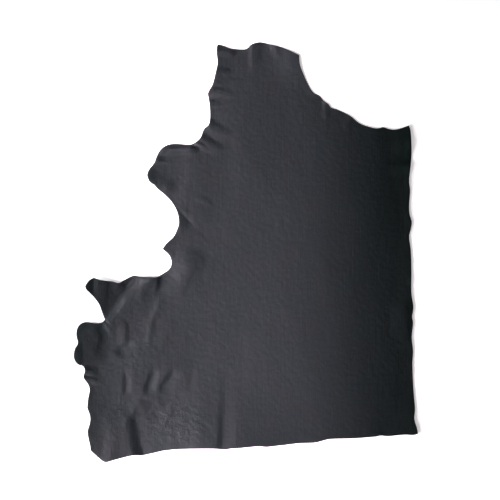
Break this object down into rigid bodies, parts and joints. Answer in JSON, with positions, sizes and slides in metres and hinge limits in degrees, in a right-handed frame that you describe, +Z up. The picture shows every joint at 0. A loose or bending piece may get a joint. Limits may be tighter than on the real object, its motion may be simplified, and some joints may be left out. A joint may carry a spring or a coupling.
{
  "type": "leather hide",
  "caption": "Black leather hide laid nearly flat, grain side up, with straight knife-cut sides, lobed natural edges, a curled shank flap and soft folds.",
  "frame": {"origin": "under the middle of the hide's box, on the surface that it lies on", "axes": "+Z up, out of the grain side; +Y towards the neck; +X towards the straight cut down the back"},
  "size_m": [1.0578, 1.292, 0.0278],
  "materials": {
    "leather": "fine pebbled grain, satin"
  },
  "bodies": {
    "root": {"hide": "leather"}
  },
  "joints": []
}
